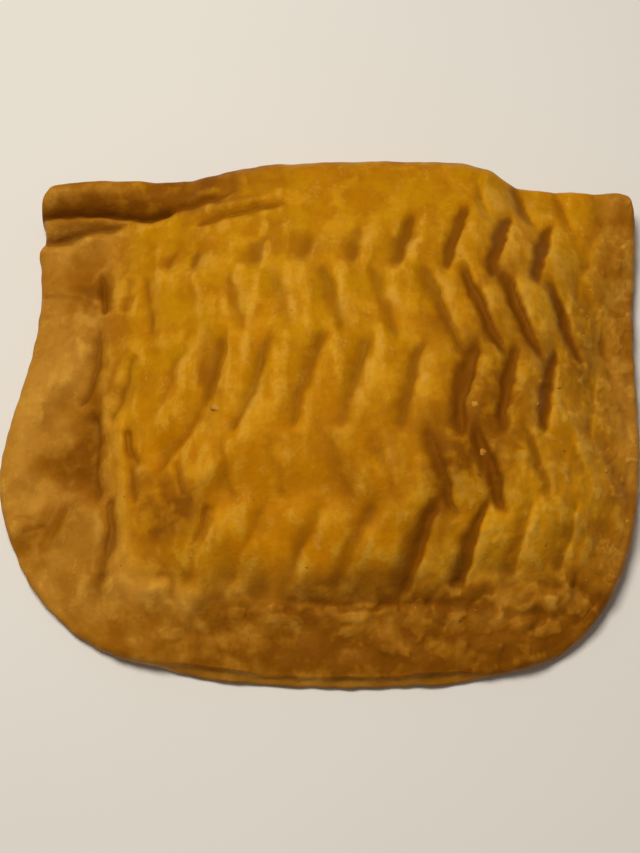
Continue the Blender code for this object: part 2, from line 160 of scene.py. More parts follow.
# Creases: (depth, reach ahead of the line, reach behind it, points of the line from left to right).
CREASES = (
    (4, 3, 4.6, ((-76, 51.6), (-60, 52), (-50, 51.6), (-42, 50.6), (-36, 51.2))),  # under the roll
    (1.3, 1.6, 2.6, ((-40, 50.5), (-35, 51.4), (-28, 52), (-19, 54))),  # its thin end over the body
    (1.5, 2.2, 2.8, ((-32, 45.5), (-26, 46.2), (-17, 47.4), (-8, 50))),  # its branch
    (2.2, 2.6, 2, ((-70, 45), (-62, 46), (-55, 47.6), (-46, 48.6))),  # under the small pleat
    (2, 1.8, 3.4, ((-54, 37), (-52.6, 30), (-52.3, 25))),  # a nick beside the foot of the body
    (2, 4.6, 2.8, ((-54, 24), (-52.6, 12), (-55, 6), (-57, 2))),  # behind the lobe
    (1.8, 5, 2.6, ((-53.6, 1), (-52.6, -2), (-52.2, -9), (-51.8, -17), (-51.4, -24))),
    (1.3, 2.4, 3.2, ((-44.4, 13), (-45.2, 9), (-47, 2), (-49.6, -5))),
    (1.1, 1.6, 2.2, ((-45.4, -5), (-44.8, -10), (-41.6, -15))),
    (1.9, 3, 3.2, ((-49, -20), (-48.2, -28), (-50.9, -45))),
    (0.9, 1.3, 1.8, ((-33.6, -14.5), (-33, -18), (-31.8, -24.5))),
    (0.8, 1.2, 2.2, ((-26, -25.5), (-26.4, -29), (-28.8, -35))),
    (0.5, 0.9, 1.3, ((-68, 31.5), (-63, 31), (-55.5, 28))),  # wrinkles on the rim
    (0.5, 0.9, 1, ((-71.5, -24), (-66.5, -25))),
    (0.5, 0.9, 1, ((-69, -28), (-64, -26))),
    (0.7, 3.6, 5, ((0, -45.6), (5, -44), (11, -45.6), (17, -44), (22, -46))),  # foot of the body
)

# Soft folds, written in the same way: a valley, or a ridge where the depth is negative.
FOLDS = (
    (-0.8, 2.6, 2.2, ((-30, 49), (-24, 49), (-14, 50.4))),  # pale ridges beside the roll's end
    (-0.6, 2.2, 2.2, ((-36, 53), (-31, 53.4), (-25, 55))),
    (2.3, 7, 3.2, ((-23.8, 16), (-24.2, 10), (-25.6, 3), (-29, -5), (-35, -12), (-38.5, -19))),
    (-1.3, 6, 4.5, ((-55, 20), (-58.6, 14), (-64, 5), (-69, -4))),  # the lobe's upper edge
    (-0.4, 2.2, 2.6, ((-49.3, 15), (-50.2, 6), (-51.5, -1))),
    (-0.9, 2.2, 2.8, ((-47.2, 0), (-46.6, -12), (-45.6, -24), (-46, -38))),
    (1.4, 5, 5, ((-72, -36), (-65, -28.5), (-60, -22), (-57, -10))),  # across the lobe
    (-0.9, 2.6, 2.6, ((-61, -32), (-55.5, -21))),
    (0.9, 2.2, 2.6, ((-46, 34), (-47, 24))),
)
CREASE_FADE, CREASE_OPEN = 0.2, 0.15  # share of the line in which an end fades, and how open it starts
CREASE_SHARPNESS = 1.6
CREASE_STRAY, CREASE_STRAY_SIZE = 0.5, 4.0  # how far the lines stray, and over what length

# Swellings and hollows: (height, middle, reach each way).
HILLS = (
    (2.2, (-56, 58), (18, 4.4)),  # the roll at the back left
    (1.4, (-59, 49.4), (10, 2.2)),  # the small pleat ahead of it
    (3, (-70, -6), (5.5, 15)),  # the lobe's raised edge
    (-2.6, (-57, -8), (5.5, 10)),  # the hollow inside it
    (0.6, (4, -48.5), (34, 2.4)),  # the ledge ahead of the body's foot
    (1.9, (-38.5, -43), (4.5, 3.2)),  # lumps at the body's front left foot
    (1.7, (-29.5, -45.5), (3.4, 2.6)), (1.4, (-20, -44), (3.6, 2.4)), (1, (-54.5, -22.5), (3, 3)),
    (0.9, (-12, -47), (3.4, 2.2)), (1, (-62, 22), (5, 9)), (-1, (-61, 35), (6, 5)),
    (-0.8, (-54, -48), (6, 5)), (0.9, (-62, -37), (5, 5)),
    (0.9, (43, -45), (3.5, 3)),  # lumps ahead of the front right corner
    (0.8, (52, -44), (3, 3.5)), (-0.7, (47.5, -49), (2.4, 3)),
)

# Thin flakes that lie on the crust: (height, middle, reach each way).
PLATES = (
    (0.25, (-9, -49), (5, 1.4)), (0.3, (6, -48.7), (5.5, 1.4)), (0.25, (4.5, -51.8), (2.4, 0.9)),
    (0.25, (21, -49.5), (3, 1)), (0.25, (29, -48), (2.6, 1.1)), (0.25, (-20, -47.5), (3, 1.2)),
    (0.3, (38.6, -49.6), (3.2, 1.6)), (0.3, (46, -50.8), (3.4, 2.2)), (0.25, (55, -46), (2.2, 2.6)),
    (0.25, (36, -55), (3.6, 1.4)), (0.25, (15, -55.5), (4.4, 1.2)), (0.25, (-34, -52), (3.4, 1.6)),
)
PLATE_STRAY = ((0.8, 2.6), (0.5, 2.2))  # how far their edges stray, and over what length, each way
PLATE_EDGE = (0.4, 0.62)  # heights of the smooth hill between which a plate's edge rises

# Crumbs that lie on the crust: (middle, half size). Smaller ones are scattered by rule.
CRUMBS = (((34.4, -14.9), 0.9), ((-24.3, -4.7), 0.8), ((33.0, -4.7), 0.8))
CRUMB_COUNT, CRUMB_SEED, CRUMB_SIZES = 14, 8, (0.2, 0.4)
CRUMB_AREA = ((-66.0, 70.0), (-56.0, 50.0))
CRUMB_CHANCES, CRUMB_BONUS = (0.1, 1.1), 0.15  # a place's flakiness and this have to beat a draw
CRUMB_MARGIN = -9.0  # no crumb lies farther outside the foot of the body
CRUMB_LONG, CRUMB_FLATNESS, CRUMB_RAGGED, CRUMB_SINK = (1.0, 1.7), 0.5, 0.35, -0.15

# -------- fine relief, in millimetres
# Each kind has a height and the size of its waves.
LUMPS, LUMP_SIZE = 1.0, 10.0  # hand-made unevenness of the rim
RIM_ENDS = (-2.0, 6.0)  # it ends between these distances inside the foot of the body
FOLD_SMOOTH, FOLD_SMOOTH_FROM = 0.7, (44.0, 52.0)  # and this much of it is missing on the folded edge
PEBBLES, PEBBLE_SIZE, PEBBLE_REACH = 1.3, 7.0, 6.5  # crumpled skin along the foot of the body
PEBBLE_LEVEL = 0.35  # the noise's height that leaves the skin as it is
PEBBLE_FRONT = (-26.0, -40.0)  # along y
PEBBLE_MIDDLE, PEBBLE_LEAST, PEBBLE_SIDES = -2.0, 0.45, (18.0, 30.0)  # weaker near the middle of the front
PEBBLE_CORNER = (0.3, (48.0, -47.0), (16.0, 9.0))  # weak at the front right corner: (share, middle, reach)
SWELLS, SWELL_SIZE, SWELL_STRETCH = 0.45, 6.5, 3.0  # soft folds of the body, longer from front to back
SWELLS_LESS = 0.5  # how much weaker they are where the grooves are crisp
SWELLS_MORE = (0.9, (-12.0, 26.0), (32.0, 20.0))  # where they are stronger: (share, middle, reach)
BLISTERS, BLISTER_SIZE, BLISTER_STRETCH = 0.1, 2.6, 1.6  # baked skin
BLISTERS_PLAIN, BLISTERS_FLAKY = 0.5, 1.8  # share of them everywhere, and on top of it on the flaky parts
CAVITY_REACH, CAVITY_DEPTH = 5, 0.6  # mesh cells looked at around a point, and the depth of a full hollow
GRAIN, GRAIN_SIZE = 0.03, 0.9
FLAKE, FLAKE_SIZE = 0.26, 4.2  # thin flakes
FLAKE_FINER, FLAKE_RAGGED = 2.5, 0.5  # how much finer the noise on their edges is, and its share
FLAKE_EDGE = (0.16, 0.3)  # the noise's heights between which a flake's edge rises
FLAKY_SLANT, FLAKY_FROM = 0.5, (22.0, 60.0)  # the flaky front right begins at these places along x, at y = 0
FLAKY_LEDGE = ((8.0, -48.0), (38.0, 5.0))

# The mesh: cells along the fold and from front to back, and the rings of the wall.
COLUMNS, LINES = 310, 250
WALL_RINGS = 14
WALL_FULL = 0.8  # below 1, the wall is fuller than a half circle
SPAN_STEPS = 40  # steps of the edge's curve between two of its points
# How much of a mark stays down the wall, at the front and the back, and the rings it fades over.
WALL_MARKS = {"cavity": (0, 0, 3), "flake": (0, 0, 3), "baked": (0.35, 0.95, 9)}
WALL_BACK = (0.0, 30.0)  # along y, from the front's share to the back's
WALL_ROUGH, WALL_ROUGH_SIZE, WALL_ROUGH_RINGS = 0.25, 3.5, 5  # unevenness, which changes every few rings
SEAM_SHOWS = (38.0, 26.0)  # how near the middle of the front the seam between the two layers shows
SEAM_MEAN, SEAM_STRAY, SEAM_SIZE = 0.75, 0.6, 9.0  # it comes and goes along the edge
UPPER_IN = 0.8  # how far the upper layer stands back from the lower one, as a share of the rounding
UPPER_FROM = (0.22, 0.75)  # it does so between these shares of the height
LIP_OUT, LIP_AT, LIP_WIDE = 0.9, 0.25, 0.2  # the lower layer's lip, and its place as shares of the height

# The noise repeats after this many squares, and each seed turns its grid by this angle more.
NOISE_CELLS, NOISE_TURN, NOISE_SHIFT, NOISE_SCALE = 64, 0.7, (31.7, 17.3), 1.6

# -------- colours, linear
GOLD = (0.50, 0.222, 0.0012, 1.0)
AMBER = (0.55, 0.198, 0.001, 1.0)
DEEP_GOLD = (0.44, 0.168, 0.001, 1.0)
# BRIGHT also paints highlights on crests and lit edges.
BRIGHT = (0.64, 0.295, 0.008, 1.0)
TAN = (0.45, 0.195, 0.020, 1.0)
LIGHT_TAN = (0.56, 0.265, 0.034, 1.0)
RUSSET = (0.30, 0.104, 0.003, 1.0)
# PALE also paints the highlight on the ridges' brows.
PALE = (0.64, 0.345, 0.045, 1.0)
# BROWN and DARK also paint shade into hollows, grooves and creases.
BROWN = (0.18, 0.052, 0.002, 1.0)
DARK = (0.11, 0.030, 0.001, 1.0)
# Towards the front the body turns amber: partly painted warm shade on slopes away from the light, partly
# baking.
AMBER_MOST, AMBER_FROM, AMBER_FULL = 0.75, (14.0, -20.0), (-26.0, -40.0)  # the body turns from gold to amber
BAKED_AND_SHADE_MOST, PALER_AND_LIT_MOST = 1.6, 1.0  # the most that the spots below add up to
# The crease mark paints shade into the creases.
CREASE_FULL = 2.6  # a crease of this depth has the mark 1
BODY_FROM = (-3.0, 9.0)  # inside the foot, from the rim's colours to the body's
PLATE_PALE = 3.0  # a plate's flake mark for each millimetre of its height

# The crust's noise patterns: (waves in a metre, detail, roughness, stretch along each axis).
PATTERNS = {
    "wide": (45.0, 3.0), "blotches": (110.0, 3.0, 0.6), "middling": (150.0, 4.0), "specks": (330.0, 2.0),
    "streaks": (420.0, 3.0, 0.55, (1.0, 0.35, 1.0)), "fine": (620.0, 3.0), "grains": (1200.0, 2.0),
}
# The bumps they make: (pattern, depth in metres, strength).
BUMPS = (("grains", 0.00008, 0.5), ("fine", 0.0002, 0.5), ("streaks", 0.0003, 0.4), ("middling", 0.0005, 0.4))
CRUMB_SHADES, CRUMB_GRAIN, CRUMB_BUMP = (400.0, 2.0), 2500.0, (0.0001, 0.5)  # the same for the crumbs
CRUST_SHEEN, CRUMB_SHEEN = 0.13, 0.18
SHEEN_TINT = (1.0, 0.66, 0.12, 1.0)

# Where the crust is browner, partly from baking and partly as painted shade: (how much, middle, reach each
# way). Below 0, it is less brown.
BAKED_AND_SHADE = (
    # The front rim is browner, and painted shade darkens it where it slopes away from the light.
    (0.8, (10, -55), (64, 8)),  # the front rim
    (0.7, (24, -54), (38, 8)), (0.7, (24, -56), (13, 5)),
    (0.8, (4, -47.5), (28, 2.6)),  # the ledge above it
    (0.5, (10, -54), (6, 4)), (0.5, (38, -56), (14, 4)), (-0.5, (-15, -55.5), (5, 3)),
    (0.5, (-19, -49.8), (6, 2.6)), (0.8, (30, -46.2), (10, 1.5)), (0.25, (8, -42), (12, 2.5)),
    (0.9, (-55, 60.5), (17, 3.4)), (0.5, (-28, 58), (13, 3.4)), (0.4, (-26, 51), (9, 2.6)),
    (-0.4, (-64, -19), (5, 3)), (0.5, (67.5, -21), (6, 6)), (0.2, (34, 9), (6, 4)),
    (-0.35, (29, -36), (4, 6)), (0.3, (-28, 8), (2, 10)), (0.3, (-35, -33), (8, 6)),
    (0.5, (-34, -39.8), (6, 1.4)), (0.5, (46, 13), (3, 5)), (0.4, (47, -49), (5, 3)),
    (-0.35, (4, -50.8), (9, 2)), (-0.3, (28, -51.5), (6, 2)), (0.3, (7, -57), (8, 3)),
    (0.3, (17, -54), (5, 3)), (0.3, (0, 58), (30, 4)), (0.4, (-40, -27), (5, 6)), (0.5, (58.5, 12), (3, 7)),
    (0.35, (26, 16), (5, 4)), (0.9, (57, -44), (5, 4)), (0.8, (36, -42.5), (8, 2)), (-0.4, (60, -36), (5, 6)),
    (0.2, (8, -12), (22, 9)), (0.3, (46, 30), (8, 5)), (-0.5, (5, -48.5), (5, 1.6)),
    (-0.6, (36, -50), (6, 2.4)), (0.6, (0, -58), (20, 4)), (0.7, (60, -42), (12, 12)),
    (0.4, (-34, -57), (20, 7)),
    # Painted shade in the lobe's hollow.
    (0.8, (-55.5, -8), (4.5, 11)),  # inside the lobe
    (0.8, (-61.5, -12), (6, 5)), (0.9, (-61, -25.5), (5.5, 6)), (0.8, (-67, -31), (5, 5)),
    (0.7, (-51.5, -36), (3, 8)), (0.5, (-46, -48), (6, 4)), (0.4, (-42, -17), (5, 6)),
    # Painted shadow on the roll's front face, under its overhang.
    (0.95, (-55, 53.8), (16, 3)),  # the roll's front
    (0.6, (-40, 54), (9, 3.4)), (0.6, (-60, 49.4), (9, 2.6)), (0.6, (-32, 55), (15, 4)),
    (0.65, (-58, 33), (8, 8)), (0.5, (-55.5, 29), (4, 5)),
    (0.65, (71, 25), (7, 26)),  # the right rim
    (0.5, (70, 50), (6, 7)),
    (0.6, (37, 2), (8, 17)),  # patches on the body
    (-0.5, (35, -35), (4, 9)), (-0.3, (46, -30), (4, 10)), (0.6, (-53.5, -8), (1.8, 14)),
    (1, (30, -16), (6, 8)), (0.6, (24.5, -28), (3.5, 8)), (0.4, (40, 30), (4, 5)),
    (1.3, (-34, -25), (6.5, 6)), (0.35, (-50, 12), (6, 24)), (0.5, (-25.5, 4), (3, 13)),
    (0.35, (30, 27), (8, 14)), (0.3, (54, 22), (12, 16)), (0.35, (38, -12), (28, 26)),
    (0.2, (2, -22), (30, 16)), (0.3, (4, -43), (34, 4)), (0.3, (-34, 42), (18, 10)),
)

# And where it is paler, partly in colour and partly as painted light on lit edges and on slopes that face
# away from the light.
PALER_AND_LIT = (
    (0.9, (49, -21), (9, 11)), (0.8, (46, -31), (3, 9)), (0.5, (50, 20), (10, 14)),
    (0.7, (-46.8, -14), (1.8, 22)),
    # Painted light on the lobe's edge, which faces the light.
    (1, (-69.5, -2), (3.5, 10)),  # the lobe's edge
    (0.8, (-63, 10), (6, 6)), (0.8, (69, -4), (3.5, 12)), (0.6, (50, 46), (8, 5)), (1.3, (36, -37), (3.5, 9)),
    (0.7, (27, -40.5), (6, 2)), (0.6, (35.5, -34), (2.6, 7)), (0.5, (48, -30), (2.4, 7)),
    (0.5, (47, -12), (2.6, 7)), (0.7, (-66, -22), (4, 5)), (0.3, (-58, 12.6), (5, 4)), (0.5, (27, 8), (3, 4)),
    (1, (-39.6, -42.2), (2.4, 2.2)), (1, (-34.8, -43), (2, 1.8)), (0.9, (-28.3, -46.3), (2.6, 1.8)),
    (0.9, (-44.4, -35), (1.6, 6)), (0.6, (-44.5, -30), (1.8, 9)), (0.6, (23.7, 3), (2, 5)),
    (0.6, (11.5, 2), (2, 5)), (0.6, (-7.8, -2), (2, 5)), (0.9, (-38, -43), (4, 3)),
    (0.9, (-30, -45.5), (3.5, 2.5)), (0.7, (-42, -37.5), (2.6, 3)), (0.6, (-24, -38), (3.4, 6)),
    (0.5, (-55, -28), (3, 4)), (0.5, (28, -33), (2.6, 7)), (0.6, (44, -6), (3, 8)), (0.5, (58, -8), (3, 9)),
    (0.5, (52, -34), (4, 6)), (0.5, (-38, -42), (10, 5)), (0.3, (0, 30), (16, 10)), (0.4, (18, 2), (5, 12)),
)

# -------- floor and light, in metres
FLOOR_HALF, FLOOR_GAP, FLOOR_ROUGHNESS, FLOOR_SHADES = 1.5, 0.0001, 0.85, (9.0, 2.0)
FLOOR_COLOURS = ((0.80, 0.79, 0.77, 1.0), (0.76, 0.75, 0.73, 1.0))
KEY_PLACE, KEY_SIZE, KEY_WATTS, KEY_COLOUR = (-0.14, 0.14, 0.64), 0.26, 3.8, (1.0, 0.93, 0.82)
LIGHT_TARGET = (0.0, 0.0, 0.01)
SURROUNDING, SURROUNDING_COLOUR = 0.16, (1.0, 0.94, 0.86, 1.0)

# -------- camera, in metres and degrees
PHOTO_HEIGHT, FOCAL_PIXELS = 853.0, 1714.0  # in the photograph's pixels
SENSOR = 36.0  # in millimetres
CAMERA_TARGET = (-0.0013, -0.0041, 0.0079)
CAMERA_ELEVATION = 68.0
CAMERA_DISTANCE = 0.3927
CLIP_START = 0.01


def smooth(t):
    """0 below 0, 1 above 1, and an S between them."""
    t = np.clip(t, 0.0, 1.0)
    return t * t * (3.0 - 2.0 * t)


def between(first, second, share):
    """The first value at 0, the second at 1."""
    return first + (second - first) * share


def ramp(value, start, end):
    """0 up to the start, 1 from the end on, and smooth in between."""
    return smooth((value - start) / (end - start))


def noise(x, y, size, seed):
    """Smooth random hills and hollows from about -1 to 1, one to each square of the given size."""
    cells = NOISE_CELLS
    angles = np.random.default_rng(seed).uniform(0.0, math.tau, (cells, cells))
    turn = seed * NOISE_TURN
    u = (x * math.cos(turn) - y * math.sin(turn)) / size + NOISE_SHIFT[0]
    v = (x * math.sin(turn) + y * math.cos(turn)) / size + NOISE_SHIFT[1]
    i, j = np.floor(u).astype(int), np.floor(v).astype(int)
    total = 0.0
    for side in (0, 1):
        for end in (0, 1):
            angle = angles[(i + side) % cells, (j + end) % cells]
            across, along = u - i - side, v - j - end
            slope = np.cos(angle) * across + np.sin(angle) * along
            total = total + slope * smooth(1.0 - np.abs(across)) * smooth(1.0 - np.abs(along))
    return total * NOISE_SCALE


def layered_noise(x, y, size, seed, layers):
    """Noise with finer and weaker noise on it."""
    return sum(noise(x, y, size / 2.0**k, seed + k) / 2.0**k for k in range(layers))


def hill(x, y, middle, reach):
    """A round hill of height 1."""
    return np.exp(-(((x - middle[0]) / reach[0]) ** 2) - ((y - middle[1]) / reach[1]) ** 2)


def line_field(x, y, points):
    """Distance to a line through points, positive on its left, and how far along it, from 0 to 1."""
    nearest = np.full(np.shape(x), np.inf)
    signed = along = np.zeros(np.shape(x))
    spans = list(zip(points, points[1:]))
    for i, (a, b) in enumerate(spans):
        run = np.subtract(b, a)
        t = np.clip(((x - a[0]) * run[0] + (y - a[1]) * run[1]) / (run @ run), 0.0, 1.0)
        dx, dy = x - a[0] - t * run[0], y - a[1] - t * run[1]
        gap = np.hypot(dx, dy)
        closer = gap < nearest
        nearest = np.where(closer, gap, nearest)
        signed = np.where(closer, gap * np.sign(run[0] * dy - run[1] * dx), signed)
        along = np.where(closer, (i + t) / len(spans), along)
    return signed, along


def crease(x, y, ahead, behind, points, sharp=True):
    """A valley of depth 1, sharp or soft, that fades out at both ends of its line."""
    x = x + CREASE_STRAY * noise(x, y, CREASE_STRAY_SIZE, 6)
    y = y + CREASE_STRAY * noise(x, y, CREASE_STRAY_SIZE, 7)
    signed, along = line_field(x, y, points)
    reach = np.where(signed < 0.0, ahead, behind)
    ends = smooth(np.minimum(along, 1.0 - along) / CREASE_FADE + CREASE_OPEN)
    side = np.clip(1.0 - np.abs(signed) / reach, 0.0, 1.0)
    return ends * (side**CREASE_SHARPNESS if sharp else smooth(side))


def inside_body(x, y):
    """How far inside the foot of the filled body a point lies, negative on the rim."""
    half = np.array((FOOT_RIGHT - FOOT_LEFT, FOOT_BACK - FOOT_FRONT)) / 2.0 - FOOT_CORNER
    (stray_x, turn_x, phase_x), (stray_y, turn_y, phase_y) = FOOT_WAVES
    foot_x = x + stray_x * np.sin(y / turn_x + phase_x)
    foot_y = y + stray_y * np.sin(x / turn_y + phase_y)
    across = np.abs(foot_x - (FOOT_LEFT + FOOT_RIGHT) / 2.0) - half[0]
    along = np.abs(foot_y - (FOOT_FRONT + FOOT_BACK) / 2.0) - half[1]
    outside = np.hypot(np.maximum(across, 0.0), np.maximum(along, 0.0))
    inside = FOOT_CORNER - outside - np.minimum(np.maximum(across, along), 0.0)
    return inside + FOOT_STRAY * noise(x, y, FOOT_STRAY_SIZE, 41)


def fold_height(x):
    """Height of the folded edge along its length: fullest over the middle, low at both ends."""
    full = ramp(x, *FOLD_RISES) * ramp(x, *FOLD_DROPS)
    return between(FOLD_ENDS, FOLD, full)


def rim_height(x, y):
    """Height of the rim, which falls outwards and grows into the folded edge at the back."""
    rim = np.maximum(RIM_INNER + RIM_FALL * np.minimum(inside_body(x, y), 0.0), RIM_LEAST)
    return between(rim, fold_height(x), ramp(y, *RIM_TO_FOLD))


def body_rise(x, y):
    """0 at the foot of the body and 1 on its top."""
    side = between(SLOPE_LEFT, SLOPE_RIGHT, ramp(x, *LEFT_TO_RIGHT))
    slope = side + (SLOPE_FRONT - side) * ramp(y, *SIDE_TO_FRONT) * ramp(np.abs(x), *FRONT_HOLDS)
    left = 1.0 - np.clip(inside_body(x, y) / slope, 0.0, 1.0)
    start = between(SOFT_FOOT, SHARP_FOOT, hill(x, y, *SHARP_PLACE))
    return (1.0 - left**SLOPE_ROUND) ** start


def groove_places():
    """Where the grooves of a row cross its middle line, wider apart over the fullest part."""
    places = [FIRST_GROOVE]
    for way in (1, -1):
        x = FIRST_GROOVE
        for _ in range(GROOVES_EACH_WAY):
            from_fullest = (x + way * PITCH / 2.0 - FULLEST) / FULLEST_REACH
            x += way * (PITCH + STRETCH * math.exp(-(from_fullest**2)))
            places.append(x)
    return np.sort(places)


def row_bounds(x, row):
    """The back and front edges of a row of grooves."""
    return np.interp(x, ALONG, ROW_EDGES[row]), np.interp(x, ALONG, ROW_EDGES[row + 1])


def ridge(share, crisp, down):
    """Height of a ridge from its left groove, at 0, to its right one, at 1: it rises fast, falls slowly."""
    flat = between(*TRENCH, crisp) * between(TRENCH_LEAST, 1.0, np.sin(math.pi * down))
    skew = between(*SKEW, crisp)
    share = np.clip(share / (1.0 - flat), 0.0, 1.0)
    start, end = EDGE_SOFT**skew, (1.0 + EDGE_SOFT) ** skew
    share = ((share + EDGE_SOFT) ** skew - start) / (end - start)
    arch = (4.0 * share * (1.0 - share)) ** ARCH
    soft = between(*SOFT, crisp)
    return (np.hypot(arch, soft) - soft) / (np.hypot(1.0, soft) - soft)


def row_grooves(row):
    """Where the grooves of a row cross its middle line, how deep they are, and which way they lean."""
    way = 1.0 if row % 2 else -1.0
    places = groove_places()
    if way < 0.0:
        places = (places[1:] + places[:-1]) / 2.0
    places = places + SHIFTS[row]
    return places, between(*GROOVE_DEPTH, ramp(places, *CRISP)) * STRENGTHS[row], way


def row_slots(upright, places, depths):
    """How open the narrow cut beside each groove's middle is."""
    last = len(places) - 1
    nearest = np.clip(np.rint(np.interp(upright, places, np.arange(last + 1))).astype(int), 0, last)
    aside = (upright - places[nearest] - SLOT_ASIDE) / SLOT_REACH
    return np.exp(-(aside**2)) * depths[nearest] / GROOVE_DEPTH[1]


def row_relief(x, y, row):
    """How far one row's grooves cut in, and where the brows of its ridges are, for a painted highlight."""
    back, front = row_bounds(x, row)
    places, depths, way = row_grooves(row)
    crisp = ramp(x, *CRISP)
    upright = x - way * np.interp(x, ALONG, LEANS[row]) * (y - (back + front) / 2.0)
    slot = SLOT * crisp * row_slots(upright, places, depths)
    upright = upright - EDGE_PLACE[0] - (EDGE_PLACE[1] - EDGE_PLACE[0]) * crisp
    phase = np.interp(upright, places, np.arange(len(places)))
    groove, share = np.floor(phase).astype(int), phase % 1.0
    left_depth, right_depth = depths[groove], depths[np.minimum(groove + 1, len(places) - 1)]
    down = np.clip((back - y) / (back - front), 0.0, 1.0)
    middle = np.sin(math.pi * down)
    cut = between(left_depth, right_depth, share) + slot
    cut = cut * (1.0 - ridge(share, crisp, down)) * between(GROOVE_ENDS, 1.0, middle)
    # the brow: a painted highlight along the ridge's steep edge
    brow_highlight = np.exp(-(((share - BROW_HIGHLIGHT_AT) / BROW_HIGHLIGHT_WIDE) ** 2)) * np.minimum(left_depth, 1.0) * middle
    overlap = ROW_OVERLAP * crisp
    hold = smooth((back + overlap - y) / ROW_BLEND + 0.5) * smooth((y - front + overlap) / ROW_BLEND + 0.5)
    return cut * hold, brow_highlight * hold


def herringbone(x, y):
    """How far the grooves cut into the body, and where the brows of the ridges are, for a painted highlight.
    """
    stray_x = x + WANDER * noise(x, y, WANDER_SIZE, 3) + RAGGED * layered_noise(x, y, RAGGED_SIZE, 5, 2)
    stray_y = y + WANDER * noise(x, y, WANDER_SIZE, 4)
    total = np.zeros((2,) + np.shape(x))
    for row in range(len(ROW_EDGES) - 1):
        share = ramp(x, *BACK_ROW_SHOWS) if row == 0 else 1.0
        total += share * np.array(row_relief(stray_x, stray_y, row))
    return total * ramp(inside_body(x, y), *FADE_AT_FOOT) * ramp(x, *FADE_AT_LEFT)


def creases(x, y):
    """How far the creases cut in."""
    return sum(depth * crease(x, y, *line) for depth, *line in CREASES)


def folds(x, y):
    """How far the soft folds cut in."""
    return sum(depth * crease(x, y, *line, sharp=False) for depth, *line in FOLDS)


def main_height(x, y):
    """Height of the top of the pastry without its grooves, creases and fine relief."""
    rim = rim_height(x, y)
    crown = CROWN - CROWN_SAG[0] * ((x - CROWN_PLACE[0]) / CROWN_REACH[0]) ** 2
    crown -= CROWN_SAG[1] * ((y - CROWN_PLACE[1]) / CROWN_REACH[1]) ** 2
    crown = between(crown, fold_height(x), ramp(y, *CROWN_TO_FOLD))
    height = between(rim, crown, body_rise(x, y))
    for rise, middle, reach in HILLS:
        height += rise * hill(x, y, middle, reach)
    return height


def flakes(x, y):
    """Thin plates of skin with a crisp edge: 0 beside them and 1 on them."""
    spread = noise(x, y, FLAKE_SIZE, 21) + FLAKE_RAGGED * noise(x, y, FLAKE_SIZE / FLAKE_FINER, 22)
    return ramp(spread, *FLAKE_EDGE)


def plates(x, y):
    """The thin flakes on the crust, each with a crisp edge."""
    (stray_x, size_x), (stray_y, size_y) = PLATE_STRAY
    x = x + stray_x * noise(x, y, size_x, 25)
    y = y + stray_y * noise(x, y, size_y, 26)
    return sum(rise * ramp(hill(x, y, *spot), *PLATE_EDGE) for rise, *spot in PLATES)


def flaky(x, y):
    """Where the pastry is flaky: its front and right, and the ledge ahead of the body."""
    front_right = ramp(x - FLAKY_SLANT * y, *FLAKY_FROM)
    return np.clip(front_right + hill(x, y, *FLAKY_LEDGE), 0.0, 1.0)


def pebbly(x, y):
    """Where the skin is crumpled: along the front foot of the body and at the front right corner."""
    foot = np.exp(-((inside_body(x, y) / PEBBLE_REACH) ** 2)) * ramp(y, *PEBBLE_FRONT)
    aside = ramp(np.abs(x - PEBBLE_MIDDLE), *PEBBLE_SIDES)
    share, *corner = PEBBLE_CORNER
    return foot * between(PEBBLE_LEAST, 1.0, aside) + share * hill(x, y, *corner)


def soft_swells(x, y):
    """Soft folds of the body's skin, weaker at the right and stronger at the back left."""
    share, *place = SWELLS_MORE
    strength = 1.0 - SWELLS_LESS * ramp(x, *CRISP) + share * hill(x, y, *place)
    return layered_noise(x, y / SWELL_STRETCH, SWELL_SIZE, 13, 2) * strength


def fine_relief(x, y):
    """The skin's own relief: lumps, crumpled skin, swells, blisters, flakes and grain."""
    on_rim = 1.0 - ramp(inside_body(x, y), *RIM_ENDS)
    uneven = 1.0 - FOLD_SMOOTH * ramp(y, *FOLD_SMOOTH_FROM)
    relief = LUMPS * on_rim * layered_noise(x, y, LUMP_SIZE, 11, 2) * uneven
    crumpled = np.abs(layered_noise(x, y, PEBBLE_SIZE, 35, 2)) - PEBBLE_LEVEL
    relief += PEBBLES * crumpled * pebbly(x, y)
    relief += SWELLS * (1.0 - on_rim) * soft_swells(x, y)
    blisters = layered_noise(x, y / BLISTER_STRETCH, BLISTER_SIZE, 15, 2)
    relief += BLISTERS * blisters * (BLISTERS_PLAIN + BLISTERS_FLAKY * flaky(x, y))
    relief += FLAKE * flakes(x, y) * flaky(x, y) + plates(x, y)
    relief += GRAIN * noise(x, y, GRAIN_SIZE, 17)
    return relief


def edge_curve():
    """A closed smooth curve through the edge's points, and where each stretch begins on it."""
    stretches = (BACK_EDGE, RIGHT_EDGE, FRONT_EDGE, LEFT_EDGE)
    points = np.array([point for stretch in stretches for point in stretch], float)
    before, after, beyond = np.roll(points, 1, 0), np.roll(points, -1, 0), np.roll(points, -2, 0)
    t = (np.arange(SPAN_STEPS) / SPAN_STEPS)[:, None, None]
    curve = points + t * (after - before) / 2.0
    curve += t**2 * (before - 2.5 * points + 2.0 * after - beyond / 2.0)
    curve += t**3 * (1.5 * (points - after) + (beyond - before) / 2.0)
    curve = curve.transpose(1, 0, 2).reshape(-1, 2)
    starts = np.cumsum([0] + [len(stretch) for stretch in stretches]) * SPAN_STEPS
    return curve, starts


def outward(curve):
    """The outward normal at each point of a closed clockwise curve."""
    run = np.roll(curve, -1, 0) - np.roll(curve, 1, 0)
    normal = np.stack([-run[:, 1], run[:, 0]], axis=1)
    return normal / np.linalg.norm(normal, axis=1, keepdims=True)


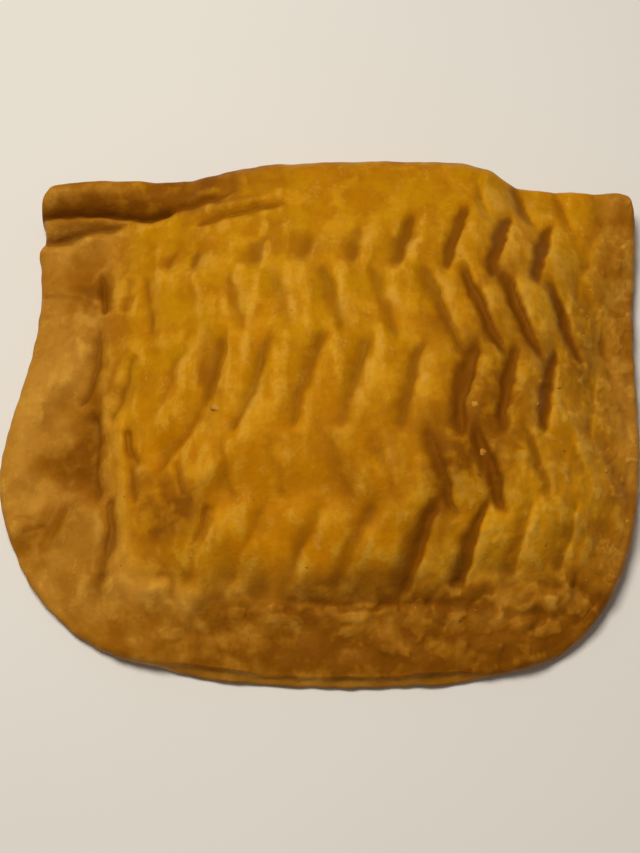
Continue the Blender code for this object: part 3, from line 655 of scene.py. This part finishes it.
def spaced(line, run, at):
    """Points of a line at the given lengths along it."""
    return np.stack([np.interp(at, run, column) for column in line.T], axis=1)


def stretch_points(curve, normals, start, end, cells):
    """Points and outward normals spaced evenly along a stretch of the edge."""
    index = np.arange(start, end + 1) % len(curve)
    steps = np.linalg.norm(np.diff(curve[index], axis=0), axis=1)
    run = np.concatenate([[0.0], np.cumsum(steps)])
    at = np.linspace(0.0, run[-1], cells + 1)
    place, face = spaced(curve[index], run, at), spaced(normals[index], run, at)
    return place, face / np.linalg.norm(face, axis=1, keepdims=True)


def edge_stretches():
    """The stretches of the edge, with their normals: back, right, front and left."""
    curve, starts = edge_curve()
    normals = outward(curve)
    cells = (COLUMNS, LINES, COLUMNS, LINES)
    return [stretch_points(curve, normals, starts[i], starts[i + 1], cells[i]) for i in range(4)]


def edge_inset(place):
    """How far the wall rounds inwards at points of the edge."""
    x, y = place.T
    heights, insets = zip(*ROUNDING)
    tight = sum(hill(x, y, *corner) for corner in TIGHT_CORNERS)
    return np.interp(rim_height(x, y), heights, insets) * (1.0 - CORNER_TIGHTNESS * tight)


def inset_line(place, face):
    """The line where the top meets the rounded wall."""
    return place - face * edge_inset(place)[:, None]


def plan_grid():
    """Plan points of the top, from left to right and from front to back."""
    back, right, front, left = (inset_line(place, face) for place, face in edge_stretches())
    front, right = front[::-1], right[::-1]
    u = np.linspace(0.0, 1.0, COLUMNS + 1)[:, None, None]
    v = np.linspace(0.0, 1.0, LINES + 1)[None, :, None]
    grid = (1 - v) * front[:, None] + v * back[:, None] + (1 - u) * left[None] + u * right[None]
    grid -= (1 - u) * (1 - v) * front[0] + u * (1 - v) * front[-1] + (1 - u) * v * back[0] + u * v * back[-1]
    return grid


def wall_rings(top):
    """The rings of the wall, from the top's border down to the underside."""
    stretches = edge_stretches()
    place = np.concatenate([place[:-1] for place, _ in stretches])
    face = np.concatenate([face[:-1] for _, face in stretches])
    inset = edge_inset(place)
    x, y = place.T
    seam = ramp(np.abs(x), *SEAM_SHOWS) * (y < 0.0)
    seam = seam * np.clip(SEAM_MEAN + SEAM_STRAY * noise(x, y, SEAM_SIZE, 37), 0.0, 1.0)
    rings = []
    for k in range(1, WALL_RINGS + 1):
        turn = math.pi * k / WALL_RINGS
        height_share = (1.0 + math.cos(turn)) / 2.0
        inset_share = 1.0 - math.sin(turn) ** WALL_FULL
        inset_share = between(inset_share, UPPER_IN, seam * ramp(height_share, *UPPER_FROM))
        lip = LIP_OUT * math.exp(-(((height_share - LIP_AT) / LIP_WIDE) ** 2))
        rough = WALL_ROUGH * math.sin(turn) * noise(x, y, WALL_ROUGH_SIZE, 31 + k // WALL_ROUGH_RINGS)
        plan = place + face * (seam * lip + rough - inset * inset_share)[:, None]
        rings.append(np.column_stack([plan, top[:, 2] * height_share]))
    return rings


def border_index():
    """Indices of the grid's outer points, clockwise from its back left corner."""
    index = np.arange((COLUMNS + 1) * (LINES + 1)).reshape(COLUMNS + 1, LINES + 1)
    return np.concatenate([index[:-1, -1], index[-1, :0:-1], index[:0:-1, 0], index[0, :-1]])


def blurred(grid, reach):
    """A grid averaged over a few cells around each point."""
    steps = np.arange(-3 * reach, 3 * reach + 1)
    weights = np.exp(-((steps / reach) ** 2))
    weights /= weights.sum()
    for axis in (0, 1):
        grid = np.moveaxis(grid, axis, 0)
        padded = np.pad(grid, ((3 * reach, 3 * reach), (0, 0)), mode="edge")
        grid = sum(weight * padded[k : k + len(grid)] for k, weight in enumerate(weights))
        grid = np.moveaxis(grid, 0, axis)
    return grid


def cavity(height):
    """Above 0 in a hollow and below 0 on a crest. The colours paint shade into the hollows and highlights
    onto the crests.
    """
    grid = height.reshape(COLUMNS + 1, LINES + 1)
    return ((blurred(grid, CAVITY_REACH) - grid) / CAVITY_DEPTH).reshape(-1)


def surface(x, y):
    """Height of the top, how far its grooves and creases cut in, and where its ridges' brows take a painted
    highlight.
    """
    groove, brow_highlight = herringbone(x, y)
    cut = creases(x, y)
    return main_height(x, y) - groove - cut - folds(x, y) + fine_relief(x, y), groove, cut, brow_highlight


def groove_brown_and_shade(x, groove):
    """How brown the grooves are, from baking and as painted shade: softly at the left, and up to their edges
    at the right.
    """
    left, right = (most * ramp(groove, start, full) for start, full, most in (BROWN_LEFT, BROWN_RIGHT))
    return between(left, right, ramp(x, *CRISP))


def spots(x, y, places, most):
    """The sum of soft spots, from 0 to the most that it may be."""
    return np.clip(sum(amount * hill(x, y, *spot) for amount, *spot in places), 0.0, most)


def top_marks(x, y, height, groove, cut, brow_highlight):
    """What the colours of the top follow, painted shade and painted highlights among them."""
    return {
        # partly painted shade in the grooves
        "groove": groove_brown_and_shade(x, groove),
        # painted warm shade towards the front, with browner baking
        "amber": AMBER_MOST * ramp(y, *AMBER_FROM) + (1.0 - AMBER_MOST) * ramp(y, *AMBER_FULL),
        # painted highlight on the ridges' brows
        "brow_highlight": brow_highlight,
        # painted shade in the creases
        "crease": cut / CREASE_FULL,
        # painted shade in hollows, painted highlight on crests
        "cavity": cavity(height),
        "body": ramp(inside_body(x, y), *BODY_FROM),
        "flake": flakes(x, y) * flaky(x, y) + PLATE_PALE * plates(x, y),
        # browner baking and painted shade
        "baked": spots(x, y, BAKED_AND_SHADE, BAKED_AND_SHADE_MOST),
        # paler patches and painted light
        "paler_and_lit": spots(x, y, PALER_AND_LIT, PALER_AND_LIT_MOST),
    }


def wall_marks(name, edge, y):
    """A mark of the top's border carried down the rings of the wall."""
    front, back, fade = WALL_MARKS.get(name, (1.0, 1.0, 1.0))
    least = between(front, back, ramp(y, *WALL_BACK))
    return [edge * np.maximum(least, 1.0 - k / fade) for k in range(WALL_RINGS)]


def patty_points():
    """All points of the patty, and what its colours follow."""
    plan = plan_grid().reshape(-1, 2)
    x, y = plan.T
    height, *cuts = surface(x, y)
    top = np.column_stack([plan, height])
    border = border_index()
    points = np.concatenate([top] + wall_rings(top[border]))
    marks = top_marks(x, y, height, *cuts)
    for name, mark in marks.items():
        marks[name] = np.concatenate([mark] + wall_marks(name, mark[border], y[border]))
    return points, marks


def patty_faces():
    """The quads of the top and of the wall, and the one face of the underside."""
    index = np.arange((COLUMNS + 1) * (LINES + 1)).reshape(COLUMNS + 1, LINES + 1)
    top = np.stack([index[:-1, :-1], index[1:, :-1], index[1:, 1:], index[:-1, 1:]], axis=-1).reshape(-1, 4)
    faces = top.tolist()
    upper = border_index()
    for k in range(WALL_RINGS):
        lower = index.size + k * len(upper) + np.arange(len(upper))
        wall = np.stack([np.roll(upper, -1), np.roll(lower, -1), lower, upper], axis=-1)
        faces += wall.tolist()
        upper = lower
    faces.append(upper.tolist())
    return faces


def foot_middle(low, high):
    """The middle of a box's underside."""
    return np.array(((low[0] + high[0]) / 2.0, (low[1] + high[1]) / 2.0, low[2]))


def placing(points):
    """The middle, scale and target that fit the patty to the frame's box, in metres."""
    low, high = points.min(axis=0), points.max(axis=0)
    box_low, box_high = np.array(CAD_BOX)
    scale = (box_high[0] - box_low[0]) / (high[0] - low[0])
    return foot_middle(low, high), scale, foot_middle(box_low, box_high)


def placed(name, data):
    """A new object in the scene."""
    thing = bpy.data.objects.new(name, data)
    bpy.context.scene.collection.objects.link(thing)
    return thing


def piece_from(name, points, faces, marks, place):
    """A smooth-shaded piece with outward faces and the marks its colours follow."""
    middle, scale, target = place
    mesh = bpy.data.meshes.new(name)
    mesh.from_pydata(((points - middle) * scale + target).tolist(), [], faces)
    for mark, values in marks.items():
        layer = mesh.attributes.new(mark, "FLOAT", "POINT")
        layer.data.foreach_set("value", values.astype(np.float32))
    form = bmesh.new()
    form.from_mesh(mesh)
    bmesh.ops.recalc_face_normals(form, faces=form.faces)
    form.to_mesh(mesh)
    form.free()
    mesh.shade_smooth()
    return placed(name, mesh)


def crumb_ball():
    """Points and faces of a small round ball."""
    form = bmesh.new()
    bmesh.ops.create_icosphere(form, subdivisions=2, radius=1.0)
    points = np.array([list(vert.co) for vert in form.verts])
    faces = [[vert.index for vert in face.verts] for face in form.faces]
    form.free()
    return points, faces


def crumb_places():
    """Where the crumbs lie and how large they are: first the ones seen, then scattered ones."""
    rng = np.random.default_rng(CRUMB_SEED)
    places = [(x, y, size) for (x, y), size in CRUMBS]
    while len(places) < len(CRUMBS) + CRUMB_COUNT:
        x, y = rng.uniform(*CRUMB_AREA[0]), rng.uniform(*CRUMB_AREA[1])
        size = rng.uniform(*CRUMB_SIZES)
        here = np.array(x), np.array(y)
        enough = float(flaky(*here)) + CRUMB_BONUS
        if inside_body(*here) > CRUMB_MARGIN and rng.uniform(*CRUMB_CHANCES) < enough:
            places.append((x, y, size))
    return places


def crumbs(place):
    """Small flat crumbs of pastry, all in one piece."""
    rng = np.random.default_rng(CRUMB_SEED + 1)
    ball, ball_faces = crumb_ball()
    points, faces = [], []
    for x, y, size in crumb_places():
        height = float(surface(np.array([x]), np.array([y]))[0][0])
        turn = rng.uniform(0.0, math.tau)
        ragged = 1.0 + CRUMB_RAGGED * rng.uniform(-1.0, 1.0, len(ball))
        form = ball * ragged[:, None] * (size * rng.uniform(*CRUMB_LONG), size, size * CRUMB_FLATNESS)
        across = form[:, 0] * math.cos(turn) - form[:, 1] * math.sin(turn)
        along = form[:, 0] * math.sin(turn) + form[:, 1] * math.cos(turn)
        faces += [[index + len(points) * len(ball) for index in face] for face in ball_faces]
        points.append(np.column_stack([x + across, y + along, height + CRUMB_SINK + form[:, 2]]))
    points = np.concatenate(points)
    return piece_from("crumbs", points, faces, {"groove": np.zeros(len(points))}, place)


class Nodes:
    """A short way to write a material's nodes. Most methods return their node's output."""

    def __init__(self, name):
        self.material = bpy.data.materials.new(name)
        self.material.use_nodes = True
        self.tree = self.material.node_tree
        self.shader = self.tree.nodes["Principled BSDF"]
        self.place = self.tree.nodes.new("ShaderNodeTexCoord").outputs["Object"]

    def give(self, node, values):
        """Sets a node's inputs, or links them where the value is another node's output."""
        for name, value in values.items():
            if isinstance(value, bpy.types.NodeSocket):
                self.tree.links.new(value, node.inputs[name])
            else:
                node.inputs[name].default_value = value

    def noise(self, scale, detail=3.0, roughness=0.55, stretch=(1.0, 1.0, 1.0)):
        mapping = self.tree.nodes.new("ShaderNodeMapping")
        self.give(mapping, {"Vector": self.place, "Scale": stretch})
        node = self.tree.nodes.new("ShaderNodeTexNoise")
        self.give(node, {"Vector": mapping.outputs["Vector"], "Scale": scale})
        self.give(node, {"Detail": detail, "Roughness": roughness})
        return node.outputs["Fac"]

    def mark(self, name):
        node = self.tree.nodes.new("ShaderNodeAttribute")
        node.attribute_name = name
        return node.outputs["Fac"]

    def range(self, value, low, high, to_low=0.0, to_high=1.0):
        node = self.tree.nodes.new("ShaderNodeMapRange")
        node.interpolation_type = "SMOOTHSTEP"
        self.give(node, {"Value": value, "From Min": low, "From Max": high})
        self.give(node, {"To Min": to_low, "To Max": to_high})
        return node.outputs["Result"]

    def math(self, operation, first, second):
        node = self.tree.nodes.new("ShaderNodeMath")
        node.operation = operation
        self.give(node, {0: first, 1: second})
        return node.outputs["Value"]

    def mix(self, share, first, second):
        """A mix of two colours, which the node has as its inputs 6 and 7."""
        node = self.tree.nodes.new("ShaderNodeMix")
        node.data_type = "RGBA"
        self.give(node, {0: share, 6: first, 7: second})
        return node.outputs[2]

    def product(self, first, second):
        return self.math("MULTIPLY", first, second)

    def total(self, first, second):
        return self.math("ADD", first, second)

    def tint(self, colour, over, value, start, full, most):
        """A colour laid over another, from a value's start on, and by the most where it is full."""
        return self.mix(self.range(value, start, full, 0.0, most), colour, over)

    def bump(self, height, distance, strength, normal=None):
        node = self.tree.nodes.new("ShaderNodeBump")
        self.give(node, {"Height": height, "Distance": distance, "Strength": strength})
        if normal:
            self.give(node, {"Normal": normal})
        return node.outputs["Normal"]

    def sheen(self, level, normal):
        """The shader's weak sheen, and the bumps it shows."""
        self.give(self.shader, {"Specular IOR Level": level, "Specular Tint": SHEEN_TINT, "Normal": normal})

    def finish(self, colour, roughness):
        """The material, with the shader's colour and roughness."""
        self.give(self.shader, {"Base Color": colour, "Roughness": roughness})
        return self.material


def crust_ground(nodes, patterns):
    """Gold and amber on the body, amber towards the front partly as painted warm shade, tan and russet on the
    rim.
    """
    body = nodes.mix(nodes.range(patterns["middling"], 0.38, 0.62), GOLD, DEEP_GOLD)
    # Painted warm shade with browner baking: the body turns amber towards the front slopes.
    body = nodes.mix(nodes.mark("amber"), body, AMBER)
    body = nodes.tint(body, BRIGHT, patterns["blotches"], 0.5, 0.66, 0.6)
    body = nodes.tint(body, AMBER, patterns["wide"], 0.46, 0.34, 0.4)
    rim = nodes.tint(TAN, RUSSET, patterns["middling"], 0.4, 0.7, 0.5)
    rim = nodes.tint(rim, PALE, patterns["blotches"], 0.5, 0.66, 0.4)
    colour = nodes.mix(nodes.mark("body"), rim, body)
    return nodes.tint(colour, RUSSET, patterns["wide"], 0.52, 0.72, 0.45)


def crust_paler(nodes, patterns, colour):
    """Paler patches with painted light, painted highlights on crests and brows, and pale flakes over a
    colour.
    """
    paler_and_lit = nodes.mix(nodes.mark("body"), LIGHT_TAN, BRIGHT)
    # Paler patches, partly painted light on lit edges and on shaded slopes.
    colour = nodes.mix(nodes.product(nodes.mark("paler_and_lit"), 0.6), colour, paler_and_lit)
    # Painted highlight on the crests, broken by streaks.
    crest = nodes.range(nodes.mark("cavity"), -0.04, -0.55)
    crest_highlight = nodes.product(crest, nodes.range(patterns["streaks"], 0.35, 0.6, 0.2, 0.8))
    colour = nodes.mix(crest_highlight, colour, paler_and_lit)
    # Painted highlight on each ridge's brow, its steep edge facing the light, broken by blotches and streaks.
    brow_highlight = nodes.product(nodes.mark("brow_highlight"), nodes.range(patterns["blotches"], 0.42, 0.6, 0.1, 1.0))
    brow_highlight = nodes.product(brow_highlight, nodes.range(patterns["streaks"], 0.4, 0.62, 0.15, 0.75))
    colour = nodes.mix(brow_highlight, colour, PALE)
    flour_and_crest_light = nodes.total(nodes.product(patterns["grains"], 0.45), nodes.product(patterns["streaks"], 0.55))
    # The pale flecks gather a little on the crests as painted highlight.
    flour_and_crest_light = nodes.total(flour_and_crest_light, nodes.product(crest, 0.09))
    flour_and_crest_light = nodes.total(flour_and_crest_light, nodes.product(nodes.mark("flake"), 0.07))
    return nodes.tint(colour, PALE, flour_and_crest_light, 0.54, 0.74, 0.55)


def crust_browned_and_shaded(nodes, patterns, colour):
    """Browner baking mixed with painted shade, painted shade in hollows and creases, grooves browned partly
    as painted shade, and specks over a colour.
    """
    # The baked mark is browner baking and painted shade in hollows, under the roll and on slopes that face
    # away from the light.
    baked = nodes.product(nodes.mark("baked"), nodes.range(patterns["middling"], 0.3, 0.65, 0.6, 1.15))
    spared = nodes.total(patterns["blotches"], nodes.product(nodes.mark("flake"), 0.12))
    baked = nodes.product(baked, nodes.range(spared, 0.46, 0.66, 0.95, 0.45))
    colour = nodes.tint(colour, RUSSET, baked, 0.0, 0.7, 0.85)
    colour = nodes.tint(colour, BROWN, baked, 0.5, 1.1, 0.75)
    colour = nodes.tint(colour, RUSSET, patterns["fine"], 0.45, 0.75, 0.2)
    # Painted shade: the hollows turn brown.
    colour = nodes.tint(colour, BROWN, nodes.mark("cavity"), 0.05, 1.2, 0.5)
    # The grooves brown, partly as painted shade.
    colour = nodes.mix(nodes.mark("groove"), colour, BROWN)
    # Painted shade: the creases darken.
    colour = nodes.tint(colour, DARK, nodes.mark("crease"), 0.2, 1.3, 0.8)
    return nodes.tint(colour, DARK, patterns["specks"], 0.74, 0.8, 0.6)


def crust_material():
    """Baked pastry: golden on the body, tan on the rim, brown in grooves and creases partly as painted shade,
    with pale flakes and painted highlights.
    """
    nodes = Nodes("baked_crust")
    patterns = {name: nodes.noise(*values) for name, values in PATTERNS.items()}
    colour = crust_ground(nodes, patterns)
    colour = crust_paler(nodes, patterns, colour)
    colour = crust_browned_and_shaded(nodes, patterns, colour)
    normal = None
    for name, depth, strength in BUMPS:
        normal = nodes.bump(patterns[name], depth, strength, normal)
    nodes.sheen(CRUST_SHEEN, normal)
    return nodes.finish(colour, nodes.range(patterns["middling"], 0.3, 0.7, 0.42, 0.62))


def crumb_material():
    """Crumbs of baked pastry, from tan to pale tan."""
    nodes = Nodes("crumb")
    shades = nodes.noise(*CRUMB_SHADES)
    nodes.sheen(CRUMB_SHEEN, nodes.bump(nodes.noise(CRUMB_GRAIN), *CRUMB_BUMP))
    colour = nodes.mix(nodes.range(shades, 0.35, 0.65), TAN, LIGHT_TAN)
    return nodes.finish(colour, nodes.range(shades, 0.3, 0.7, 0.5, 0.7))


def floor_material():
    """Pale matt board."""
    nodes = Nodes("pale_board")
    return nodes.finish(nodes.mix(nodes.noise(*FLOOR_SHADES), *FLOOR_COLOURS), FLOOR_ROUGHNESS)


def floor():
    """A wide pale floor under the patty."""
    below = CAD_BOX[0][2] - FLOOR_GAP
    corners = [(x * FLOOR_HALF, y * FLOOR_HALF, below) for x, y in ((-1, -1), (1, -1), (1, 1), (-1, 1))]
    mesh = bpy.data.meshes.new("floor")
    mesh.from_pydata(corners, [], [(0, 1, 2, 3)])
    mesh.materials.append(floor_material())
    placed("floor", mesh)


def key_light():
    """A square soft light from the back left, facing the patty."""
    light = bpy.data.lights.new("key", "AREA")
    light.size = KEY_SIZE
    light.energy = KEY_WATTS
    light.color = KEY_COLOUR
    lamp = placed("key", light)
    lamp.location = KEY_PLACE
    towards = Vector(LIGHT_TARGET) - Vector(KEY_PLACE)
    lamp.rotation_euler = towards.to_track_quat("-Z", "Y").to_euler()


def surrounding():
    """A plain pale surrounding."""
    world = bpy.data.worlds.new("studio")
    world.use_nodes = True
    background = world.node_tree.nodes["Background"]
    background.inputs["Color"].default_value = SURROUNDING_COLOUR
    background.inputs["Strength"].default_value = SURROUNDING
    bpy.context.scene.world = world


def camera():
    """The camera at the photograph's own distance, angle and field of view."""
    lens = bpy.data.cameras.new("camera")
    lens.sensor_width = SENSOR
    lens.lens = FOCAL_PIXELS * SENSOR / PHOTO_HEIGHT
    lens.clip_start = CLIP_START
    piece = placed("camera", lens)
    angle = math.radians(CAMERA_ELEVATION)
    back = Vector((0.0, -math.cos(angle), math.sin(angle)))
    piece.location = Vector(CAMERA_TARGET) + back * CAMERA_DISTANCE
    piece.rotation_euler = (math.radians(90.0) - angle, 0.0, 0.0)
    bpy.context.scene.camera = piece


def main():
    points, marks = patty_points()
    place = placing(points)
    crust = piece_from("baked_patty", points, patty_faces(), marks, place)
    crust.data.materials.append(crust_material())
    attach(crust, "root")
    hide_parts("patty")
    loose = crumbs(place)
    loose.data.materials.append(crumb_material())
    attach(loose, "root")
    floor()
    key_light()
    surrounding()
    camera()
    bpy.context.scene.view_settings.view_transform = "Standard"


main()
